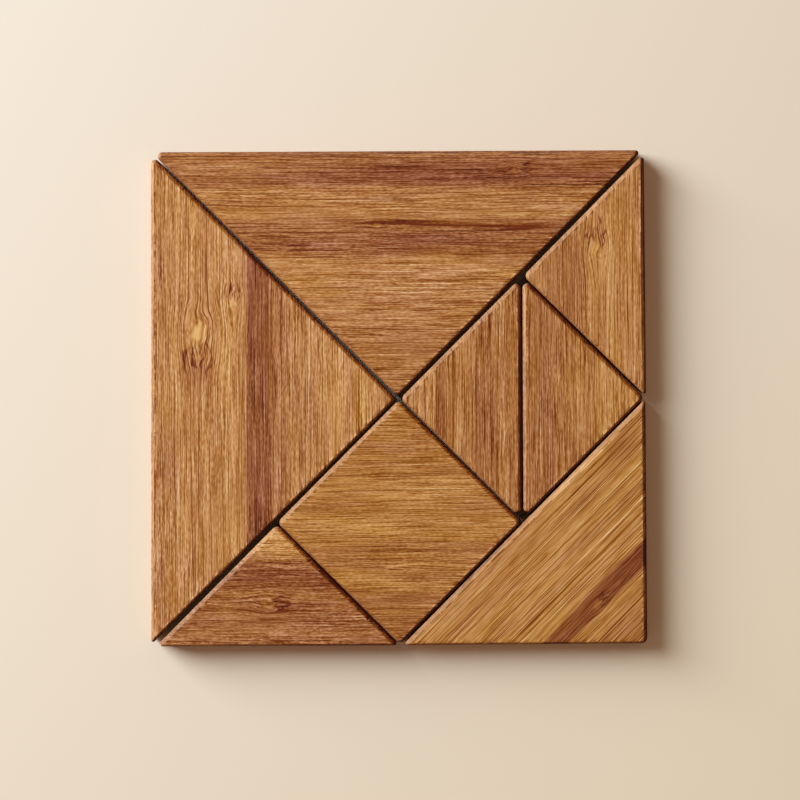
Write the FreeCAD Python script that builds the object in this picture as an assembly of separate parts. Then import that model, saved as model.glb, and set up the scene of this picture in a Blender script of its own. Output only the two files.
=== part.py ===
import FreeCAD, Part
import math
import os

# An eight-piece tangram of bamboo, laid out as its square. Millimetres, +Z up.
# The underside is at Z = 0, and the origin is under the middle of the laid square.

SIDE = 100.0  # the laid square, edge to edge
THICKNESS = 8.0  # every tan is cut from one board
CUT_GAP = 0.4  # wood that the cuts take away between two neighbours
SQUARE = 1.2  # rounding of a corner of 90 degrees, seen from above
BLUNT = 1.0  # rounding of a corner of 45 degrees inside the laid square
WORN = 0.9  # rounding of the two tips at its upper left
EASED = 0.6  # rounding of the tips at its upper right and lower left
KEEN = 0.4  # rounding of the tips that were hardly sanded
ARRIS_RADIUS = 0.7  # the sanded rounding along the top and bottom edges

QUARTER = SIDE / 4

# Each tan's corners, in quarters of the side from the middle of the square, and how each is rounded.
CORNERS = {
    "large_triangle_top": [(-2, 2, WORN), (0, 0, SQUARE), (2, 2, EASED)],
    "large_triangle_left": [(-2, 2, WORN), (-2, -2, KEEN), (0, 0, SQUARE)],
    "medium_triangle": [(2, -2, SQUARE), (2, 0, KEEN), (0, -2, KEEN)],
    "square": [(0, 0, SQUARE), (-1, -1, SQUARE), (0, -2, SQUARE), (1, -1, SQUARE)],
    "small_triangle_centre": [(0, 0, SQUARE), (1, -1, BLUNT), (1, 1, BLUNT)],
    "small_triangle_right": [(2, 0, SQUARE), (1, 1, BLUNT), (1, -1, BLUNT)],
    "small_triangle_top_right": [(1, 1, SQUARE), (2, 0, KEEN), (2, 2, EASED)],
    "small_triangle_bottom_left": [(-1, -1, SQUARE), (-2, -2, EASED), (0, -2, KEEN)],
}

# The tans are laid by hand, so each lies a little off its true place:
# a shift along X and Y, and a turn in degrees about its own middle.
LAID = {
    "large_triangle_top": (-0.2, 0.0, 0.0),
    "large_triangle_left": (-0.2, 0.0, -0.2),
    "medium_triangle": (-0.05, 0.15, 0.2),
    "square": (0.0, 0.05, 0.0),
    "small_triangle_centre": (-0.1, -0.1, -0.1),
    "small_triangle_right": (-0.25, -0.05, 0.0),
    "small_triangle_top_right": (-0.15, -0.35, 0.3),
    "small_triangle_bottom_left": (0.3, 0.0, 0.0),
}

UP = FreeCAD.Vector(0, 0, 1)
MITRED = 2  # the kind of offset that keeps its corners sharp
FLAT = 0.01  # smaller than this counts as nothing


def outline(corners):
    """The tan's flat outline, with half of each cut taken off its edges."""
    points = [FreeCAD.Vector(x * QUARTER, y * QUARTER, 0) for x, y, rounding in corners]
    points.append(points[0])
    whole = Part.Face(Part.makePolygon(points))
    return whole.makeOffset2D(-CUT_GAP / 2, MITRED)


def round_corners(solid, corners):
    """Rounds the upright edge at each of these corners."""
    for x, y, rounding in corners:
        place = FreeCAD.Vector(x * QUARTER, y * QUARTER, THICKNESS / 2)
        uprights = [edge for edge in solid.Edges if edge.BoundBox.ZLength > THICKNESS / 2]
        nearest = min(uprights, key=lambda edge: edge.CenterOfMass.distanceToPoint(place))
        solid = solid.makeFillet(rounding, [nearest])
    return solid


def make_tan(corners):
    """A flat prism with rounded upright corners and rounded arrises.

    An arris runs smoothly round a corner that is rounder than itself. At a keener corner the two
    arrises meet in a mitre, and the corner's own rounding is cut through them afterwards.
    """
    smooth = [corner for corner in corners if corner[2] > ARRIS_RADIUS]
    mitred = [corner for corner in corners if corner[2] <= ARRIS_RADIUS]
    prism = round_corners(outline(corners).extrude(UP * THICKNESS), smooth)
    arrises = [edge for edge in prism.Edges if edge.BoundBox.ZLength < FLAT]
    tan = prism.makeFillet(ARRIS_RADIUS, arrises)
    if mitred:
        tan = tan.common(round_corners(prism, mitred))
    return tan.Solids[0]


def lay(tan, shift_x, shift_y, turn):
    """Turns a tan about its own middle and shifts it on the table."""
    middle = tan.CenterOfMass
    tan.rotate(middle, UP, turn)
    tan.translate(FreeCAD.Vector(shift_x, shift_y, 0))
    return tan


def centre(tans):
    """Moves all the tans together, so that the laid square is centred on the origin."""
    box = Part.makeCompound(list(tans.values())).optimalBoundingBox()
    for tan in tans.values():
        tan.translate(FreeCAD.Vector(-box.Center.x, -box.Center.y, 0))


os.makedirs("parts", exist_ok=True)
tans = {}
for name, corners in CORNERS.items():
    tans[name] = lay(make_tan(corners), *LAID[name])
centre(tans)
for name, tan in tans.items():
    tan.exportStep("parts/" + name + ".step")
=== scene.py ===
import math

import bpy
import numpy as np
from mathutils import Euler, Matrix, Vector
from mathutils.geometry import convex_hull_2d, delaunay_2d_cdt


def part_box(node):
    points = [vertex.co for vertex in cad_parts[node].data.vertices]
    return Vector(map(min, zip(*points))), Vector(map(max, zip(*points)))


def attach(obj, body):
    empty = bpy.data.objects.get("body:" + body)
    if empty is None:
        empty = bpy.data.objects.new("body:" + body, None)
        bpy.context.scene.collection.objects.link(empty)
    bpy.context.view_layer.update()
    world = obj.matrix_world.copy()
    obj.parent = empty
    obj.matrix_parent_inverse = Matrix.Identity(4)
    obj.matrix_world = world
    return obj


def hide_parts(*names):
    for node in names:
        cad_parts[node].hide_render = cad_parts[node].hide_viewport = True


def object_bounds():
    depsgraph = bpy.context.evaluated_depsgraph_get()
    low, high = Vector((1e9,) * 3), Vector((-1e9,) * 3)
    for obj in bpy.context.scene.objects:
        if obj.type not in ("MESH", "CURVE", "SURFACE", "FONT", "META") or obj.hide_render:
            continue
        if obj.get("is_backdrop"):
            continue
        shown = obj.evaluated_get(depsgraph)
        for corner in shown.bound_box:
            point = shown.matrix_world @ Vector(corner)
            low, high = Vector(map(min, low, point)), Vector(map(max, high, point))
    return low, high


# A tangram of eight bamboo tans, laid out as a square on a pale floor.
# Lengths are in millimetres where nothing else is said, and become metres in meshes and the camera.

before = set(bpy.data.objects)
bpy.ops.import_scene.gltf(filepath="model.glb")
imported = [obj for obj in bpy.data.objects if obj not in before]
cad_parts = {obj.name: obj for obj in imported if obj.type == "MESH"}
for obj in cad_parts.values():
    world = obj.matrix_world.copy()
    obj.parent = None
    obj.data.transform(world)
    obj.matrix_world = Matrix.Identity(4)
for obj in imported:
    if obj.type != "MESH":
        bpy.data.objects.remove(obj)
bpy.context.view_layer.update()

MM = 0.001
SHORTEST_SIDE = 4.0  # a tan's straight sides are all longer than this
LEAST_ROUNDING = 0.06  # of a face's corner, where the bevel is wider than the corner is round
BEVEL_RUN = 0.69  # width of the bevel along the top and bottom edges, seen from above
BEVEL_DROP = 0.52  # and its depth
BEND = 0.16  # rounding where the bevel meets the face and the wall
WIDER = (0.11, 0.32)  # bevels that face this way are wider by this share, and their opposites narrower

SIDE_PITCH = 0.3  # distance between mesh points round the outline
ALONG_PITCH = 0.42  # distance between mesh points along the grain
ACROSS_PITCH = 0.13  # and across it, where the grooves are
CORNER_STEPS = 8
BEND_STEPS = 4
WALL_STEPS = 12
UNDERSIDE_COARSER = 2.5  # the underside's mesh has its points this many times further apart

# The colours of caramelised bamboo from dark to light: (level, sRGB colour from 0 to 255). A level
# is the wood's brightness, also from 0 to 255.
PALETTE = [
    (20, (66, 14, 0)),
    (50, (107, 38, 0)),
    (80, (133, 69, 17)),
    (110, (162, 100, 51)),
    (140, (190, 131, 85)),
    (170, (214, 161, 118)),
    (210, (240, 200, 160)),
]
# Whole strips differ less in blue than their fibres do, and have patches of their own in it.
MIDDLE_LEVEL = 120
STRIP_BLUE = 0.41
BLUE_PATCH = 24

# How far the surface is carved down, in millimetres.
GROOVE_DEPTH = 0.045
RIPPLE_DEPTH = 0.018
SEAM_DEPTH = 0.03
SEAM_WIDTH = 0.10
SWELL_DEPTH = 0.03
SIDE_CARVING = 0.35  # the sides and bevels are carved by this share of the faces' depth

# The grain's patterns, as their sizes along it, across it and downwards.
WAVES = [(16, 6, 9, 3), (5, 2.2, 5, 1.2)]  # and how strong each wave is
DENSITY = (60, 7, 7)  # of the grooves
LONG_GROOVE = (13, 0.34, 0.34)
SHORT_GROOVE = (4.5, 0.27, 0.27)
RIPPLE = (9, 0.8, 0.8)
SWELL = (6, 5, 4)
STRIP_BEND = 0.15  # how far the strips follow the bends of their fibres

# A knuckle's shape, in its own sizes.
KNUCKLE_REACH = (3.2, 2.0)  # how far off, along and across the grain, the fibres still bend round it
KNUCKLE_SPREAD = 0.7  # how strongly they bend
KNUCKLE_LONGER = 1.5  # its length, for its width
HOOKS = 13  # how many dark hooks would fill a full turn round it

# Fibre lines from broad bands down to single fibres: how fast they change along the grain and
# across it, per millimetre, and how far they move the level.
FIBRES = [
    (0.020, 0.25, 14),
    (0.025, 0.50, 12),
    (0.040, 0.95, 8),
    (0.070, 1.70, 9),
    (0.120, 2.80, 17),
    (0.060, 4.40, 44),
    (1.100, 4.40, 80),
]
# Separate fibres, the same way.
CELLS = [
    (0.220, 3.90, 31),
]
# Thin lines between bundles of fibres: how many to a millimetre, how fast they come and go along
# the grain, and how far they move the level.
LINES = [
    (0.8, 0.045, -66),
    (1.5, 0.090, -60),
    (1.1, 0.060, 30),
    (2.7, 0.180, -54),
]
DARKEST_LINE = 62  # fibres and lines together don't go darker than this
LINE_WIDTH = 0.09  # half of a line's width

# Level changes.
PALE_KNUCKLE = 22  # how much paler the middle of a knuckle is
DARK_HOOK = 50  # how much darker the hooks round it are
GROOVE_SHADE = 26  # how much darker a groove is
DASH_SHADE = 16  # how much darker the short dark fibres are
END_SHADE = 20  # how much darker the ends of the fibres are than their sides
RIM_SHADE = 27  # how much darker every bevel is: partly the darker arrises of old wood, partly painted shade near the gaps
AWAY_SHADE = 52  # painted shade: how much darker still the bevels are that face away from the key
GAP_SHADE = 85  # painted shade in the gaps: how much darker still the lowest part of a bevel is
GLUE_SHADE = 55  # how much darker the glue line between the board's two layers is

BOARD = 8.0  # the board's thickness
GLUE_HEIGHT = 4.0
GLUE_WIDTH = 0.2
OTHER_STRIP = 0.37  # the board's lower layer has the strips of this far across the tan
LOW_BEVEL = (0.20, 0.42)  # how deep the painted gap shade on a bevel starts, and where it is darkest
AWAY_FROM_KEY = (1.0, 0.0, 0.0)  # painted shade: bevels that face this way, away from the key, are painted darkest
MOST_AWAY_FROM_KEY = 0.45  # and are darkest when they face it by this much
HIGHLIGHT_FACING = (-0.92, 0.39, 0.0)  # painted highlight: bevels that face this way, towards the key, are painted paler
NO_GAP_SHADE_FACING = 0.5  # and get no painted gap shade when they face it by this much
WALL_COLOUR = (144, 82, 38)  # of the wood's sides, which took up more of the stain
WALL_SHARE = 0.45
ROUGHNESS = (0.52, 0.42)  # of the darkest wood and of the palest
SHINE = 0.16
TOOTH = (0.5, 0.0001)  # strength of the fibres' relief, and its height in metres

# Softer patterns, as how fast they change along the grain and across it, per millimetre.
BLOTCH = (0.05, 0.28)  # bends the strips' sides, by this share of the tan's width at most:
BLOTCH_BEND = 0.004
CALM = (0.05, 0.22)  # where the fibres show less
DASH = (0.14, 2.8)  # short dark fibres
TINT = (0.07, 0.45)  # patches of bluer and yellower wood
HIGHLIGHT_SPECK = (0.9, 1.6)  # in the painted highlight on the bevels that face the key
HIGHLIGHT_COLOUR = (232, 192, 158)  # the colour of that painted highlight
HIGHLIGHT_SHARE = 0.87  # how strongly the painted highlight covers the bevel that faces the key most

# Each tan's grain. Places on a tan are fractions of its length along the grain and of its width
# across it, counted from its low ends; sizes are in millimetres.
#   grain: its direction, in degrees
#   levels: the strips' tones across the grain, as (across, level)
#   seams: where two glued strips meet
#   patches: soft darker and paler places, as (along, across, length, width, level change)
#   knuckles: the bamboo's nodes, as (along, across, size, and the side its dark hooks fan out to)
#   wave, streaks, lines: how wavy the fibres are, and how strong their streaks and thin lines are
#   reach: how long the streaks and lines run, for their width
#   blue: how much less yellow the whole tan is, as a level change in blue alone
TANS = {
    "large_triangle_top": dict(
        grain=0,
        levels=[
            (0.00, 135), (0.15, 135), (0.18, 125), (0.22, 132), (0.39, 139), (0.55, 139),
            (0.59, 118), (0.62, 105), (0.65, 114), (0.72, 118), (0.735, 138), (0.83, 135),
            (0.855, 126), (0.865, 107), (0.93, 109), (0.97, 118), (1.00, 126),
        ],
        seams=[0.862],
        patches=[
            (0.14, 0.92, 12, 3.0, 20), (0.62, 0.91, 20, 2.0, -23), (0.55, 0.64, 16, 2.4, -12),
            (0.72, 0.74, 6, 1.2, 12), (0.24, 0.56, 8, 2.0, 9), (0.59, 0.715, 9, 0.7, 16),
        ],
        knuckles=[(0.74, 0.92, 0.8, 1), (0.46, 0.70, 0.5, 1)],
        wave=0.13,
        streaks=1.0,
        lines=1.3,
        reach=1.0,
        blue=0,
    ),
    "large_triangle_left": dict(
        grain=90,
        levels=[
            (0.00, 135), (0.08, 148), (0.13, 163), (0.17, 147), (0.26, 154), (0.33, 143),
            (0.42, 139), (0.49, 126), (0.53, 106), (0.604, 99), (0.610, 144), (0.66, 154),
            (0.71, 153), (0.74, 145), (0.90, 150), (0.95, 142), (1.00, 137),
        ],
        seams=[0.607, 0.885],
        patches=[
            (0.56, 0.81, 3.5, 2.4, -20), (0.70, 0.88, 4, 2.0, -9), (0.71, 0.66, 4, 1.5, -9),
            (0.60, 0.70, 8, 1.0, 13), (0.37, 0.92, 7, 1.6, -14), (0.13, 0.87, 7, 1.4, -9),
            (0.50, 0.235, 6, 1.3, 13), (0.25, 0.54, 3, 1.5, -10),
        ],
        knuckles=[(0.63, 0.80, 1.8, -1), (0.69, 0.66, 1.0, 1)],
        wave=0.07,
        streaks=1.0,
        lines=1.3,
        reach=1.2,
        blue=3,
    ),
    "medium_triangle": dict(
        grain=45,
        levels=[
            (0.00, 125), (0.12, 129), (0.22, 147), (0.318, 141), (0.328, 100), (0.38, 92),
            (0.430, 97), (0.440, 153), (0.53, 152), (0.60, 148), (0.68, 145), (0.73, 153),
            (0.83, 143), (0.90, 145), (1.00, 141),
        ],
        seams=[0.435],
        patches=[
            (0.70, 0.37, 8, 2.0, -22), (0.20, 0.37, 9, 1.6, 12), (0.60, 0.93, 5, 1.4, 12),
            (0.85, 0.90, 5, 2.0, -25), (0.12, 0.90, 8, 1.5, 8), (0.43, 0.63, 9, 1.6, 6),
        ],
        knuckles=[(0.48, 0.36, 0.8, 1)],
        wave=0.02,
        streaks=0.55,
        lines=1.5,
        reach=2.5,
        blue=-4,
    ),
    "square": dict(
        grain=0,
        levels=[
            (0.00, 119), (0.19, 121), (0.27, 137), (0.33, 131), (0.38, 124), (0.43, 136),
            (0.49, 142), (0.57, 132), (0.63, 144), (0.70, 135), (0.78, 131), (0.88, 140),
            (1.00, 134),
        ],
        seams=[],
        patches=[
            (0.58, 0.85, 4, 1.8, -10), (0.37, 0.71, 4, 1.2, -7), (0.50, 0.59, 8, 1.0, 8),
            (0.39, 0.47, 6, 1.2, 8), (0.47, 0.25, 7, 2.0, 6),
        ],
        knuckles=[],
        wave=0.14,
        streaks=0.85,
        lines=1.2,
        reach=1.0,
        blue=-6,
    ),
    "small_triangle_centre": dict(
        grain=90,
        levels=[
            (0.00, 122), (0.13, 134), (0.19, 133), (0.23, 121), (0.35, 122), (0.44, 133),
            (0.52, 142), (0.60, 132), (0.68, 117), (0.70, 120), (0.73, 145), (0.85, 132),
            (1.00, 130),
        ],
        seams=[0.69],
        patches=[(0.71, 0.40, 5, 2.4, 8), (0.41, 0.28, 5, 1.2, -10), (0.31, 0.42, 3, 1.4, -8)],
        knuckles=[],
        wave=0.04,
        streaks=0.95,
        lines=1.3,
        reach=1.2,
        blue=-1,
    ),
    "small_triangle_right": dict(
        grain=90,
        levels=[
            (0.00, 148), (0.35, 152), (0.41, 143), (0.48, 134), (0.53, 146), (0.58, 136),
            (0.68, 130), (0.73, 131), (0.80, 119), (0.90, 125), (1.00, 127),
        ],
        seams=[],
        patches=[(0.33, 0.25, 3, 1.5, -7), (0.25, 0.57, 4, 1.4, -6)],
        knuckles=[],
        wave=0.03,
        streaks=0.9,
        lines=1.3,
        reach=1.2,
        blue=0,
    ),
    "small_triangle_top_right": dict(
        grain=90,
        levels=[
            (0.00, 138), (0.12, 145), (0.29, 147), (0.33, 138), (0.38, 143), (0.48, 139),
            (0.53, 130), (0.63, 121), (0.69, 129), (0.78, 132), (0.84, 139), (1.00, 139),
        ],
        seams=[],
        patches=[(0.56, 0.30, 9, 2.6, 8), (0.72, 0.46, 5, 2.2, 7)],
        knuckles=[(0.60, 0.40, 1.3, 1)],
        wave=0.05,
        streaks=0.75,
        lines=1.2,
        reach=1.2,
        blue=0,
    ),
    "small_triangle_bottom_left": dict(
        grain=0,
        levels=[
            (0.00, 116), (0.12, 123), (0.22, 115), (0.33, 112), (0.39, 125), (0.45, 118),
            (0.53, 102), (0.60, 108), (0.68, 115), (0.73, 137), (0.80, 155), (1.00, 160),
        ],
        seams=[],
        patches=[
            (0.55, 0.32, 3, 1.6, -16), (0.68, 0.54, 3.5, 1.8, -16), (0.72, 0.17, 6, 1.2, -10),
            (0.30, 0.29, 5, 1.4, 14), (0.46, 0.60, 6, 1.0, -8),
        ],
        knuckles=[(0.46, 0.34, 1.2, 1)],
        wave=0.16,
        streaks=1.1,
        lines=1.2,
        reach=0.8,
        blue=-1,
    ),
}


# ---- Repeatable noise ----


def lattice(ix, iy, iz, seed):
    """A repeatable value from 0 to 1 at each point of a whole-number lattice."""
    h = (ix * 374761393 + iy * 668265263 + iz * 1442695041 + seed * 1274126177) & 0xFFFFFFFF
    h = ((h ^ (h >> 13)) * 1274126177) & 0xFFFFFFFF
    return ((h ^ (h >> 16)) & 0xFFFFFF) / 0xFFFFFF


def noise(x, y, z, seed):
    """Smooth value noise from 0 to 1."""
    whole = [np.floor(c).astype(np.int64) for c in (x, y, z)]
    part = [c - w for c, w in zip((x, y, z), whole)]
    ease = [p * p * (3 - 2 * p) for p in part]
    total = np.zeros(len(x))
    for corner in range(8):
        step = [corner & 1, corner >> 1 & 1, corner >> 2 & 1]
        weight = np.ones(len(x))
        for e, s in zip(ease, step):
            weight = weight * (e if s else 1 - e)
        total += weight * lattice(*[w + s for w, s in zip(whole, step)], seed)
    return total


def sized_noise(u, v, w, size, seed):
    """Noise drawn out to these sizes along the grain, across it and downwards."""
    return noise(u / size[0], v / size[1], w / size[2], seed)


def smooth(low, high, x):
    """0 below low, 1 above high, and an easy curve between them."""
    t = np.clip((x - low) / (high - low), 0, 1)
    return t * t * (3 - 2 * t)


# ---- The outline of a tan, read from its CAD solid ----


def read_corners(node):
    """The points where the tan's straight sides would meet, anticlockwise, and how each is rounded."""
    points = [Vector((v.co.x, v.co.y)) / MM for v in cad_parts[node].data.vertices]
    hull = [points[i] for i in convex_hull_2d(points)]
    sides = []
    for a, b in zip(hull, hull[1:] + hull[:1]):
        if (b - a).length > SHORTEST_SIDE:
            sides.append((a, b))
    corners = []
    for (a, b), (c, d) in zip(sides[-1:] + sides[:-1], sides):
        along, other = b - a, d - c
        t = (c - a).cross(other) / along.cross(other)
        corner = a + along * t
        missing = min((corner - p).length for p in hull)
        rounding = missing / (1 / math.cos(along.angle(other) / 2) - 1)
        corners.append((corner, rounding))
    places = [corner for corner, rounding in corners]
    turning = sum(a.cross(b) for a, b in zip(places, places[1:] + places[:1]))
    if turning < 0:
        corners.reverse()
    return [corner for corner, rounding in corners], [rounding for corner, rounding in corners]


def outline_loop(corners, roundings, inset):
    """Points and outward normals round the tan, inset by so much. Every inset has as many points."""
    count = len(corners)
    normals, insets = [], []
    for a, b in zip(corners, corners[1:] + corners[:1]):
        run = (b - a).normalized()
        normal = Vector((run.y, -run.x))
        normals.append(normal)
        insets.append(inset * (1 + normal.dot(Vector(WIDER))))
    rounds = []
    for i, corner in enumerate(corners):
        before, after = normals[i - 1], normals[i]
        radius = max(roundings[i] - inset, LEAST_ROUNDING)
        first, second = insets[i - 1] + radius, insets[i] + radius
        c = before.dot(after)
        middle = corner - before * (first - second * c) / (1 - c * c)
        middle = middle - after * (second - first * c) / (1 - c * c)
        rounds.append((middle, radius))
    places, outs = [], []
    for i in range(count):
        middle, radius = rounds[i]
        before, after = normals[i - 1], normals[i]
        turn = before.angle(after)
        start = math.atan2(before.y, before.x)
        for k in range(CORNER_STEPS + 1):
            angle = start + turn * k / CORNER_STEPS
            out = Vector((math.cos(angle), math.sin(angle)))
            places.append(middle + out * radius)
            outs.append(out)
        next_middle, next_radius = rounds[(i + 1) % count]
        a, b = middle + after * radius, next_middle + after * next_radius
        steps = round((corners[(i + 1) % count] - corners[i]).length / SIDE_PITCH)
        for k in range(1, steps):
            places.append(a.lerp(b, k / steps))
            outs.append(after)
    return np.array(places), np.array(outs)


def rings(thickness):
    """Each ring from the top face's rim down to the bottom's: inset, height, and how its normal leans."""
    tilt = math.atan2(BEVEL_RUN, BEVEL_DROP)  # of the bevel's normal above the level
    top_reach = BEVEL_RUN + BEND * math.tan((math.pi / 2 - tilt) / 2)
    side_reach = BEVEL_DROP + BEND * math.tan(tilt / 2)
    found = []
    for k in range(BEND_STEPS + 1):
        angle = math.pi / 2 + (tilt - math.pi / 2) * k / BEND_STEPS
        inset = top_reach - BEND * math.cos(angle)
        drop = BEND - BEND * math.sin(angle)
        found.append((inset, thickness - drop, math.cos(angle), math.sin(angle)))
    for k in range(BEND_STEPS + 1):
        angle = tilt * (1 - k / BEND_STEPS)
        inset = BEND - BEND * math.cos(angle)
        drop = side_reach - BEND * math.sin(angle)
        found.append((inset, thickness - drop, math.cos(angle), math.sin(angle)))
    bevel = list(found)
    for k in range(1, WALL_STEPS):
        height = thickness - side_reach - (thickness - 2 * side_reach) * k / WALL_STEPS
        found.append((0.0, height, 1.0, 0.0))
    for inset, height, out, up in reversed(bevel):
        found.append((inset, thickness - height, out, -up))
    return found


# ---- The grain ----


class Grain:
    """Turns places on a tan into places in its grain, and tells the grain's marks and grooves there."""

    def __init__(self, look, corners, seed):
        angle = math.radians(look["grain"])
        self.along = np.array((math.cos(angle), math.sin(angle)))
        self.across = np.array((-math.sin(angle), math.cos(angle)))
        flat = np.array(corners)
        self.low_u, self.high_u = (flat @ self.along).min(), (flat @ self.along).max()
        self.low_v, self.high_v = (flat @ self.across).min(), (flat @ self.across).max()
        self.look = look
        self.seed = seed

    def place(self, points):
        """Along, across and height, before any swirl."""
        return points[:, :2] @ self.along, points[:, :2] @ self.across, points[:, 2]

    def away(self, u, v, along, across):
        """How far each place is from a place given in fractions, along the grain and across it."""
        du = u - self.low_u - (self.high_u - self.low_u) * along
        dv = v - self.low_v - (self.high_v - self.low_v) * across
        return du, dv

    def warp(self, u, v, w):
        """The same places with the grain's waves, and its fibres bent round the knuckles."""
        for k, (along, across, down, strength) in enumerate(WAVES):
            swing = sized_noise(u, v, w, (along, across, down), self.seed + 1 + k) - 0.5
            v = v + self.look["wave"] * strength * swing
        for along, across, size, side in self.look["knuckles"]:
            du, dv = self.away(u, v, along, across)
            near = np.exp(-((du / size / KNUCKLE_REACH[0]) ** 2) - (dv / size / KNUCKLE_REACH[1]) ** 2)
            v = v - KNUCKLE_SPREAD * dv * near
            v = v + near * size * 0.7 * (noise(u / 2.6, v / 2.6, w / 4, self.seed + 3) - 0.5)
            u = u + near * size * 2.5 * (noise(u / 3.0, v / 1.6, w / 4, self.seed + 4) - 0.5)
        return u, v

    def marks(self, u, v, w):
        """The change of level from patches and knuckles, and how deep the knuckles' hooks are cut."""
        shade = np.zeros(len(u))
        for along, across, length, width, change in self.look["patches"]:
            du, dv = self.away(u, v, along, across)
            shade = shade + change * np.exp(-((du / length) ** 2) - (dv / width) ** 2)
        hooks = np.zeros(len(u))
        for along, across, size, side in self.look["knuckles"]:
            du, dv = self.away(u, v, along, across)
            rough = noise(u / size, v / size * 1.5, w, self.seed + 14) - 0.5
            out = np.hypot(du / KNUCKLE_LONGER, dv) / size
            turn = np.arctan2(dv, side * du / KNUCKLE_LONGER)
            turn = turn + 0.25 * (out - 1) * np.sign(dv) + 0.4 * rough
            uneven = noise(turn * 3.2, out * 0.8, w, self.seed + 15)
            fan = smooth(0.1, 0.8, np.cos(turn * HOOKS + 2 * rough)) * smooth(0.2, 0.6, uneven)
            fan = fan * smooth(0.8, 1.1, out) * (1 - smooth(1.9, 3.2, out + 2 * rough))
            fan = fan * (1 - smooth(0.9, 1.5, np.abs(turn)))
            hooks = np.maximum(hooks, fan)
            shade = shade + PALE_KNUCKLE * (1 - smooth(0.5, 1.0, out + 0.5 * rough))
        return shade - DARK_HOOK * hooks, hooks

    def grooves(self, u, v, w, hooks):
        """How deep the open pores and fibre lines lie, from 0 to 1."""
        density = sized_noise(u, v, w, DENSITY, self.seed + 9)
        long = sized_noise(u, v, w, LONG_GROOVE, self.seed + 5)
        short = sized_noise(u, v, w, SHORT_GROOVE, self.seed + 6)
        lines = smooth(0.76 - 0.14 * density, 0.95, long)
        dashes = smooth(0.80 - 0.14 * density, 0.97, short) * 0.7
        return np.clip(np.maximum(np.maximum(lines, dashes), 0.9 * hooks), 0, 1)


def carve(grain, points, normals):
    """Presses the grain's grooves into the surface, and gives what the material reads."""
    u, v, w = grain.place(points)
    fraction = (v - grain.low_v) / (grain.high_v - grain.low_v)
    u2, v2 = grain.warp(u, v, w)
    shade, hooks = grain.marks(u, v, w)
    groove = grain.grooves(u2, v2, w, hooks)
    ripple = sized_noise(u2, v2, w, RIPPLE, grain.seed + 8)
    swell = sized_noise(u, v, w, SWELL, grain.seed + 10)
    seam = np.zeros(len(u))
    for at in grain.look["seams"]:
        gap = (fraction - at) * (grain.high_v - grain.low_v)
        seam = np.maximum(seam, np.exp(-((gap / SEAM_WIDTH) ** 2)))
    depth = GROOVE_DEPTH * groove + RIPPLE_DEPTH * ripple + SEAM_DEPTH * seam + SWELL_DEPTH * swell
    face = smooth(0.8, 1.0, np.abs(normals[:, 2]))
    depth = depth * (SIDE_CARVING + (1 - SIDE_CARVING) * face)
    shift = (v2 - v) / (grain.high_v - grain.low_v)
    rim = smooth(0.05, 0.30, 1 - normals[:, 2]) * smooth(-0.05, 0.25, normals[:, 2])
    data = {
        "grain": np.stack((u2, v2, w), axis=1),
        "across": fraction + shift * STRIP_BEND,
        "groove": groove,
        "shade": shade / 255,
        "rim": rim,  # 1 on the bevels round the top face
    }
    return points - normals * depth[:, None], data


def face_points(corners, grain, pitch_u, pitch_v):
    """Points inside the face, in rows along the grain."""
    rows = np.arange(grain.low_v, grain.high_v, pitch_v)
    steps = np.arange(grain.low_u, grain.high_u, pitch_u)
    u, v = np.meshgrid(steps, rows)
    flat = u.reshape(-1, 1) * grain.along + v.reshape(-1, 1) * grain.across
    keep = np.ones(len(flat), bool)
    for a, b in zip(corners, corners[1:] + corners[:1]):
        run = (b - a).normalized()
        distance = (flat - np.array(a)) @ np.array((-run.y, run.x))
        keep &= distance > BEVEL_RUN * (1 + math.hypot(*WIDER)) + BEND
    return flat[keep]


def fill_face(rim, inner, grain):
    """Triangles over a face from its rim and the points inside it, as numbers into rim then inner."""
    flat = np.concatenate((rim, inner))
    stretch = ACROSS_PITCH / ALONG_PITCH
    points = [Vector((u * stretch, v)) for u, v in zip(flat @ grain.along, flat @ grain.across)]
    made = delaunay_2d_cdt(points, [], [list(range(len(rim)))], 1, 1e-6, True)
    source = [ids[0] for ids in made[3]]
    return [[source[i] for i in face] for face in made[2]]


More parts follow.
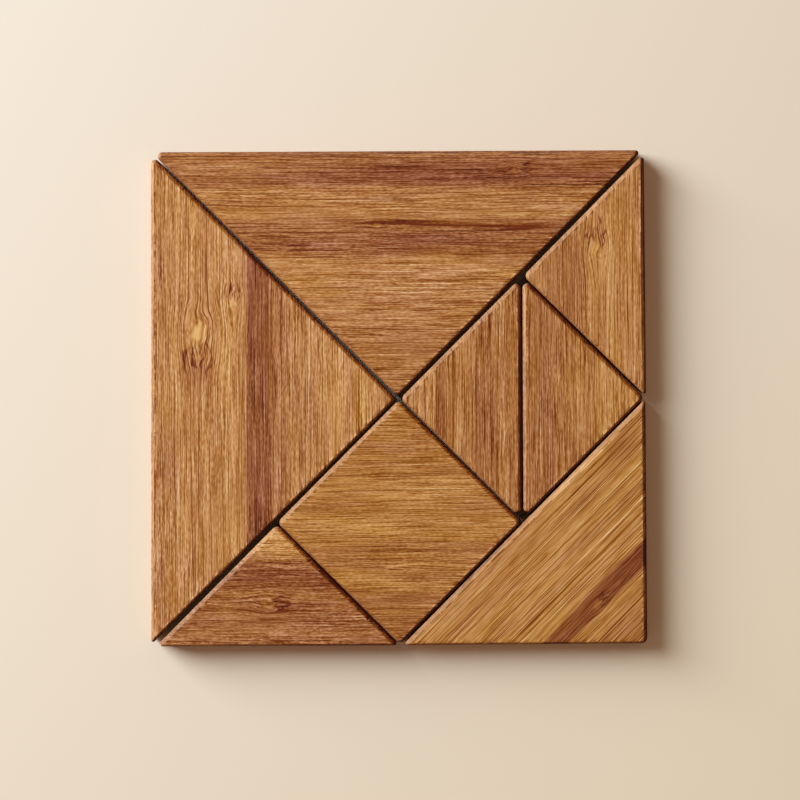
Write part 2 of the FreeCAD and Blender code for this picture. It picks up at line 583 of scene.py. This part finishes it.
def make_tan(node, look, seed):
    """One tan as a closed mesh with carved grain, in the place of its CAD solid."""
    low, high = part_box(node)
    thickness = (high.z - low.z) / MM
    corners, roundings = read_corners(node)
    grain = Grain(look, corners, seed)
    points, normals = [], []
    ring_list = rings(thickness)
    for inset, height, out, up in ring_list:
        places, outs = outline_loop(corners, roundings, inset)
        size = len(places)
        points.append(np.column_stack((places, np.full(size, height))))
        normals.append(np.column_stack((outs * out, np.full(size, up))))

    # The sides and bevels.
    faces = []
    for ring in range(len(ring_list) - 1):
        for i in range(size):
            j = (i + 1) % size
            top, bottom = ring * size, (ring + 1) * size
            faces.append((top + i, bottom + i, bottom + j, top + j))

    # The top face and the underside.
    last = (len(ring_list) - 1) * size
    total = len(ring_list) * size
    for height, up, first, coarse in ((thickness, 1.0, 0, 1), (0.0, -1.0, last, UNDERSIDE_COARSER)):
        inner = face_points(corners, grain, ALONG_PITCH * coarse, ACROSS_PITCH * coarse)
        rim = points[0][:, :2]
        for triangle in fill_face(rim, inner, grain):
            ids = [first + i if i < size else total + i - size for i in triangle]
            faces.append(ids if up > 0 else ids[::-1])
        points.append(np.column_stack((inner, np.full(len(inner), height))))
        normals.append(np.tile((0.0, 0.0, up), (len(inner), 1)))
        total += len(inner)

    carved, data = carve(grain, np.concatenate(points), np.concatenate(normals))
    mesh = bpy.data.meshes.new(node + "_bamboo")
    mesh.from_pydata((carved * MM).tolist(), [], faces)
    for name, values in data.items():
        kind = "FLOAT_VECTOR" if values.ndim == 2 else "FLOAT"
        layer = mesh.attributes.new(name, kind, "POINT")
        key = "vector" if values.ndim == 2 else "value"
        layer.data.foreach_set(key, values.astype(np.float32).ravel())
    mesh.shade_smooth()
    mesh.materials.append(bamboo(node, look))
    piece = bpy.data.objects.new(node + "_bamboo", mesh)
    bpy.context.scene.collection.objects.link(piece)
    return piece


# ---- The bamboo material ----


def linear(colour):
    """An sRGB colour of 0 to 255 as linear light from 0 to 1."""
    found = []
    for c in colour:
        c = c / 255
        found.append(c / 12.92 if c <= 0.04045 else ((c + 0.055) / 1.055) ** 2.4)
    return tuple(found)


class Nodes:
    """Adds nodes to a material and joins them, so that a pattern reads as a few lines."""

    def __init__(self, material):
        material.use_nodes = True
        self.tree = material.node_tree
        self.tree.nodes.clear()

    def add(self, kind, inputs=None, **settings):
        node = self.tree.nodes.new(kind)
        for name, value in settings.items():
            setattr(node, name, value)
        for name, value in (inputs or {}).items():
            socket = node.inputs[name]
            if isinstance(value, bpy.types.NodeSocket):
                self.tree.links.new(value, socket)
            else:
                socket.default_value = value
        return node

    def math(self, operation, a, b=0.0, c=0.0):
        return self.add("ShaderNodeMath", {0: a, 1: b, 2: c}, operation=operation).outputs[0]

    def attribute(self, name):
        return self.add("ShaderNodeAttribute", attribute_name=name)

    def scaled(self, place, along, across, seed):
        """The place scaled along the grain and across it, in a part of the noise picked by the seed."""
        return self.add(
            "ShaderNodeVectorMath",
            {0: place, 1: (along, across, across), 2: (seed, seed * 1.7, seed * 0.6)},
            operation="MULTIPLY_ADD",
        ).outputs[0]

    def fibres(self, place, along, across, detail, seed):
        """Noise drawn out along the grain, from 0 to 1."""
        scaled = self.scaled(place, along, across, seed)
        found = self.add(
            "ShaderNodeTexNoise",
            {"Vector": scaled, "Scale": 1.0, "Detail": detail, "Roughness": 0.55},
        )
        return found.outputs["Fac"]

    def cells(self, place, along, across, seed):
        """Separate fibres, each with a tone of its own from 0 to 1."""
        scaled = self.scaled(place, along, across, seed)
        found = self.add("ShaderNodeTexVoronoi", {"Vector": scaled, "Scale": 1.0})
        return self.add("ShaderNodeSeparateColor", {"Color": found.outputs["Color"]}).outputs["Red"]

    def palette(self, level):
        """The wood's colour at each level."""
        colours = self.add("ShaderNodeValToRGB", {"Fac": level})
        stops = colours.color_ramp.elements
        for k, (at, colour) in enumerate(PALETTE):
            stop = stops[k] if k < 2 else stops.new(at / 255)
            stop.position = at / 255
            stop.color = (*linear(colour), 1)
        return colours.outputs["Color"]

    def threads(self, place, count, along, seed):
        """1 on thin lines that run along the grain for a while, and 0 between them."""
        parts = self.add("ShaderNodeSeparateXYZ", {0: place}).outputs
        side = self.math("MULTIPLY_ADD", parts["Z"], 0.6, parts["Y"])
        drift = self.fibres(place, along * 0.2, 0.3, 0, seed)
        turns = self.math("MULTIPLY_ADD", side, count, self.math("MULTIPLY", drift, 3.0))
        off = self.math("PINGPONG", turns, 0.5)
        thread = self.stretch(off, LINE_WIDTH * count, 0.0)
        shown = self.stretch(self.fibres(place, along, count * 0.9, 0, seed + 5), 0.50, 0.60)
        return self.math("MULTIPLY", thread, shown)

    def dot(self, a, b):
        return self.add("ShaderNodeVectorMath", {0: a, 1: b}, operation="DOT_PRODUCT").outputs["Value"]

    def stretch(self, value, low, high, to_low=0.0, to_high=1.0):
        """Moves a value's range from low and high to the two new ends, and keeps it between them."""
        return self.add(
            "ShaderNodeMapRange",
            {"Value": value, "From Min": low, "From Max": high, "To Min": to_low, "To Max": to_high},
        ).outputs[0]

    def mix(self, factor, a, b):
        """The colour a where the factor is 0, and b where it is 1."""
        node = self.tree.nodes.new("ShaderNodeMix")
        node.data_type = "RGBA"
        for name, value in (("Factor", factor), ("A", a), ("B", b)):
            socket = next(s for s in node.inputs if s.name == name and s.enabled)
            if isinstance(value, bpy.types.NodeSocket):
                self.tree.links.new(value, socket)
            else:
                socket.default_value = value
        return next(s for s in node.outputs if s.enabled)


def bamboo(node, look):
    """Caramelised bamboo: strip tones across the grain, fibre lines along it, a satin oil on top, and
    painted highlight and shade on the bevels.
    """
    material = bpy.data.materials.new(node + "_grain")
    n = Nodes(material)
    grain = n.attribute("grain").outputs["Vector"]
    groove = n.attribute("groove").outputs["Fac"]
    shade = n.attribute("shade").outputs["Fac"]
    across = n.attribute("across").outputs["Fac"]
    rim = n.attribute("rim").outputs["Fac"]
    seed = look["seed"] * 7.3

    # The lower layer of the board is another strip of bamboo, so it has the tones of another place.
    height = n.add("ShaderNodeSeparateXYZ", {0: grain}).outputs["Z"]
    lower = n.math("LESS_THAN", height, GLUE_HEIGHT)
    blotch = n.stretch(n.fibres(grain, *BLOTCH, 2, seed), 0.3, 0.7, -BLOTCH_BEND, BLOTCH_BEND)
    place = n.math("ADD", n.math("MULTIPLY_ADD", lower, OTHER_STRIP, across), blotch)
    strips = n.add("ShaderNodeValToRGB", {"Fac": n.math("PINGPONG", place, 1.0)})
    stops = strips.color_ramp.elements
    for k, (at, level) in enumerate(look["levels"]):
        stop = stops[k] if k < 2 else stops.new(at)
        stop.position = at
        stop.color = (level / 255, level / 255, level / 255, 1)
    level = strips.outputs["Color"]

    calm = n.stretch(n.fibres(grain, *CALM, 1, seed + 20), 0.3, 0.7, 0.75, 1.25)
    lines = 0.0
    for k, (along, wide, amount) in enumerate(FIBRES):
        line = n.math("SUBTRACT", n.fibres(grain, along / look["reach"], wide, 0, seed + k + 1), 0.5)
        lines = n.math("MULTIPLY_ADD", line, amount * look["streaks"] / 255, lines)
    for k, (along, wide, amount) in enumerate(CELLS):
        line = n.math("SUBTRACT", n.cells(grain, along / look["reach"], wide, seed + k + 51), 0.5)
        lines = n.math("MULTIPLY_ADD", line, amount * look["streaks"] / 255, lines)
    for k, (count, along, amount) in enumerate(LINES):
        thread = n.threads(grain, count, along / look["reach"], seed + k + 31)
        lines = n.math("MULTIPLY_ADD", thread, amount * look["lines"] / 255, lines)
    lines = n.math("MAXIMUM", lines, -DARKEST_LINE / 255)
    strip = n.math("ADD", level, shade)
    level = n.math("MULTIPLY_ADD", lines, calm, level)
    level = n.math("MULTIPLY_ADD", groove, -GROOVE_SHADE / 255, level)
    level = n.math("ADD", level, shade)
    dash = n.stretch(n.fibres(grain, *DASH, 0, seed + 12), 0.62, 0.72)
    level = n.math("MULTIPLY_ADD", dash, -DASH_SHADE / 255, level)
    normal = n.add("ShaderNodeTexCoord").outputs["Normal"]
    angle = math.radians(look["grain"])
    end = n.dot(normal, (math.cos(angle), math.sin(angle), 0))
    level = n.math("MULTIPLY_ADD", n.math("MULTIPLY", end, end), -END_SHADE / 255, level)
    glue = n.math("COMPARE", height, GLUE_HEIGHT, GLUE_WIDTH / 2)
    level = n.math("MULTIPLY_ADD", glue, -GLUE_SHADE / 255, level)
    # Painted highlight: how far each bevel faces the key.
    highlight_facing = n.math("MULTIPLY", rim, n.dot(normal, HIGHLIGHT_FACING))
    # Painted shade: bevels that face away from the key are painted darker.
    away_from_key = n.stretch(n.dot(normal, AWAY_FROM_KEY), 0.0, MOST_AWAY_FROM_KEY)
    level = n.math("MULTIPLY_ADD", n.math("MULTIPLY", rim, away_from_key), -AWAY_SHADE / 255, level)
    # Every bevel is darker: partly old wood's arrises, partly painted shade near the gaps.
    level = n.math("MULTIPLY_ADD", rim, -RIM_SHADE / 255, level)
    # Painted shade in the gaps: the lowest part of each bevel is painted dark, except on bevels that face
    # the key.
    low = n.math("MULTIPLY", rim, n.stretch(height, BOARD - LOW_BEVEL[0], BOARD - LOW_BEVEL[1]))
    low = n.math("MULTIPLY", low, n.stretch(n.dot(normal, HIGHLIGHT_FACING), NO_GAP_SHADE_FACING, 0.0))
    level = n.math("MULTIPLY_ADD", low, -GAP_SHADE / 255, level)

    patch = n.math("SUBTRACT", n.fibres(grain, *TINT, 1, seed + 16), 0.5)
    blue = n.math("MULTIPLY_ADD", strip, -STRIP_BLUE, (STRIP_BLUE * MIDDLE_LEVEL + look["blue"]) / 255)
    blue = n.math("MULTIPLY_ADD", patch, BLUE_PATCH / 255, blue)
    warm = n.add("ShaderNodeSeparateColor", {"Color": n.palette(level)}).outputs
    cool = n.add("ShaderNodeSeparateColor", {"Color": n.palette(n.math("ADD", level, blue))}).outputs
    mixed = {"Red": warm["Red"], "Green": warm["Green"], "Blue": cool["Blue"]}
    wood = n.add("ShaderNodeCombineColor", mixed)

    # Painted highlight: the bevels that face the key are mixed towards a pale, speckled colour.
    highlight_speck = n.stretch(n.fibres(grain, *HIGHLIGHT_SPECK, 2, seed + 14), 0.35, 0.65, 0.5, 1.3)
    highlight = n.math("MULTIPLY", n.math("MAXIMUM", highlight_facing, 0.0), n.math("MULTIPLY", highlight_speck, HIGHLIGHT_SHARE))
    colour = n.mix(highlight, wood.outputs["Color"], (*linear(HIGHLIGHT_COLOUR), 1))
    upright = n.math("ABSOLUTE", n.dot(normal, (0, 0, 1)))
    colour = n.mix(n.stretch(upright, 0.5, 0.1, 0.0, WALL_SHARE), colour, (*linear(WALL_COLOUR), 1))

    tooth = n.math("MULTIPLY_ADD", groove, -0.3, lines)
    bump = n.add("ShaderNodeBump", {"Height": tooth, "Strength": TOOTH[0], "Distance": TOOTH[1]})
    rough = n.stretch(level, 0.2, 0.7, *ROUGHNESS)
    shader = n.add(
        "ShaderNodeBsdfPrincipled",
        {"Base Color": colour, "Roughness": rough, "Normal": bump.outputs[0]},
    )
    shader.inputs["Specular IOR Level"].default_value = SHINE
    n.add("ShaderNodeOutputMaterial", {"Surface": shader.outputs[0]})
    return material


# ---- The floor, light and camera ----


FLOOR_HALF = 3.0  # metres
FLOOR_SLANT = (0.7, -0.7, 0)  # painted light: the floor's colour changes this way, from the upper left to the lower right
FLOOR_FADE = 0.11  # metres from the middle to where each side's colour is reached
FLOOR_PAINTED_UPPER_LEFT = (0.825, 0.72, 0.605, 1)
FLOOR_PAINTED_LOWER_RIGHT = (0.865, 0.725, 0.545, 1)
FLOOR_CLOUD = (0.75, 0.62, 0.48, 1)
FLOOR_CLOUD_SHARE = 0.06
FLOOR_ROUGHNESS = 0.7
FLOOR_SHINE = 0.2


def make_floor():
    """A pale floor under the tans, with painted light: bluer towards the key, warmer away from it."""
    material = bpy.data.materials.new("pale_floor")
    n = Nodes(material)
    where = n.add("ShaderNodeTexCoord").outputs["Object"]
    cloud = n.add("ShaderNodeTexNoise", {"Vector": where, "Scale": 9.0, "Detail": 2.0}).outputs["Fac"]
    # Painted light: the floor's colour shifts from the upper left to the lower right, standing in for the
    # key's falloff.
    across = n.stretch(n.dot(where, FLOOR_SLANT), -FLOOR_FADE, FLOOR_FADE)
    colour = n.mix(across, FLOOR_PAINTED_UPPER_LEFT, FLOOR_PAINTED_LOWER_RIGHT)
    colour = n.mix(n.math("MULTIPLY", cloud, FLOOR_CLOUD_SHARE), colour, FLOOR_CLOUD)
    shader = n.add("ShaderNodeBsdfPrincipled", {"Base Color": colour, "Roughness": FLOOR_ROUGHNESS})
    shader.inputs["Specular IOR Level"].default_value = FLOOR_SHINE
    n.add("ShaderNodeOutputMaterial", {"Surface": shader.outputs[0]})
    corners = [(x * FLOOR_HALF, y * FLOOR_HALF, 0) for x, y in ((-1, -1), (1, -1), (1, 1), (-1, 1))]
    mesh = bpy.data.meshes.new("floor")
    mesh.from_pydata(corners, [], [(0, 1, 2, 3)])
    mesh.materials.append(material)
    floor = bpy.data.objects.new("floor", mesh)
    bpy.context.scene.collection.objects.link(floor)
    floor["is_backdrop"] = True


def aim(thing, place, target):
    """Puts a light or camera at a place, looking at a target."""
    thing.location = place
    thing.rotation_euler = (Vector(target) - Vector(place)).to_track_quat("-Z", "Y").to_euler()


KEY_SLOPE = Vector((-1.16, 0.65, 1.0))  # the way to the key's middle, from the upper left
KEY_DISTANCE = 1.0  # metres, as are the next two
KEY_WIDTH = 0.55
KEY_HEIGHT = 1.16
KEY_POWER = 15.1  # watts
KEY_COLOUR = (0.88, 1.0, 1.06)
ROOM_COLOUR = (0.28, 0.185, 0.13)


def make_light():
    """A tall soft key from the upper left, and warm light from the rest of the room."""
    lamp = bpy.data.lights.new("key", "AREA")
    lamp.shape = "ELLIPSE"
    lamp.size = KEY_WIDTH
    lamp.size_y = KEY_HEIGHT
    lamp.energy = KEY_POWER
    lamp.color = KEY_COLOUR
    key = bpy.data.objects.new("key", lamp)
    bpy.context.scene.collection.objects.link(key)
    aim(key, KEY_SLOPE.normalized() * KEY_DISTANCE, (0, 0, 0))
    world = bpy.data.worlds.new("room")
    world.use_nodes = True
    background = world.node_tree.nodes["Background"]
    background.inputs["Color"].default_value = (*ROOM_COLOUR, 1)
    background.inputs["Strength"].default_value = 1.0
    bpy.context.scene.world = world


VIEW_WIDTH = 161.1  # what the picture spans at the height of the upper faces
VIEW_OFFSET = 0.35  # the square lies this far left of and above the picture's middle
CAMERA_DISTANCE = 750.0  # from the upper faces
CAMERA_ROLL = math.radians(-0.25)


def make_camera():
    """Straight down on the square, from far enough that the gaps show little of the tans' sides."""
    low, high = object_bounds()
    middle = (low + high) / 2
    data = bpy.data.cameras.new("camera")
    data.sensor_width = 36.0
    data.lens = data.sensor_width * CAMERA_DISTANCE / VIEW_WIDTH
    data.clip_start = 0.05
    data.clip_end = 20.0
    camera = bpy.data.objects.new("camera", data)
    bpy.context.scene.collection.objects.link(camera)
    place = (middle.x + VIEW_OFFSET * MM, middle.y - VIEW_OFFSET * MM, high.z + CAMERA_DISTANCE * MM)
    camera.location = place
    camera.rotation_euler = Euler((0, 0, CAMERA_ROLL))
    bpy.context.scene.camera = camera


# ---- The scene ----

for number, (node, look) in enumerate(TANS.items()):
    look["seed"] = number + 1
    piece = make_tan(node, look, look["seed"] * 100)
    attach(piece, node)
    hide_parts(node)
make_floor()
make_light()
make_camera()
bpy.context.scene.view_settings.view_transform = "Standard"
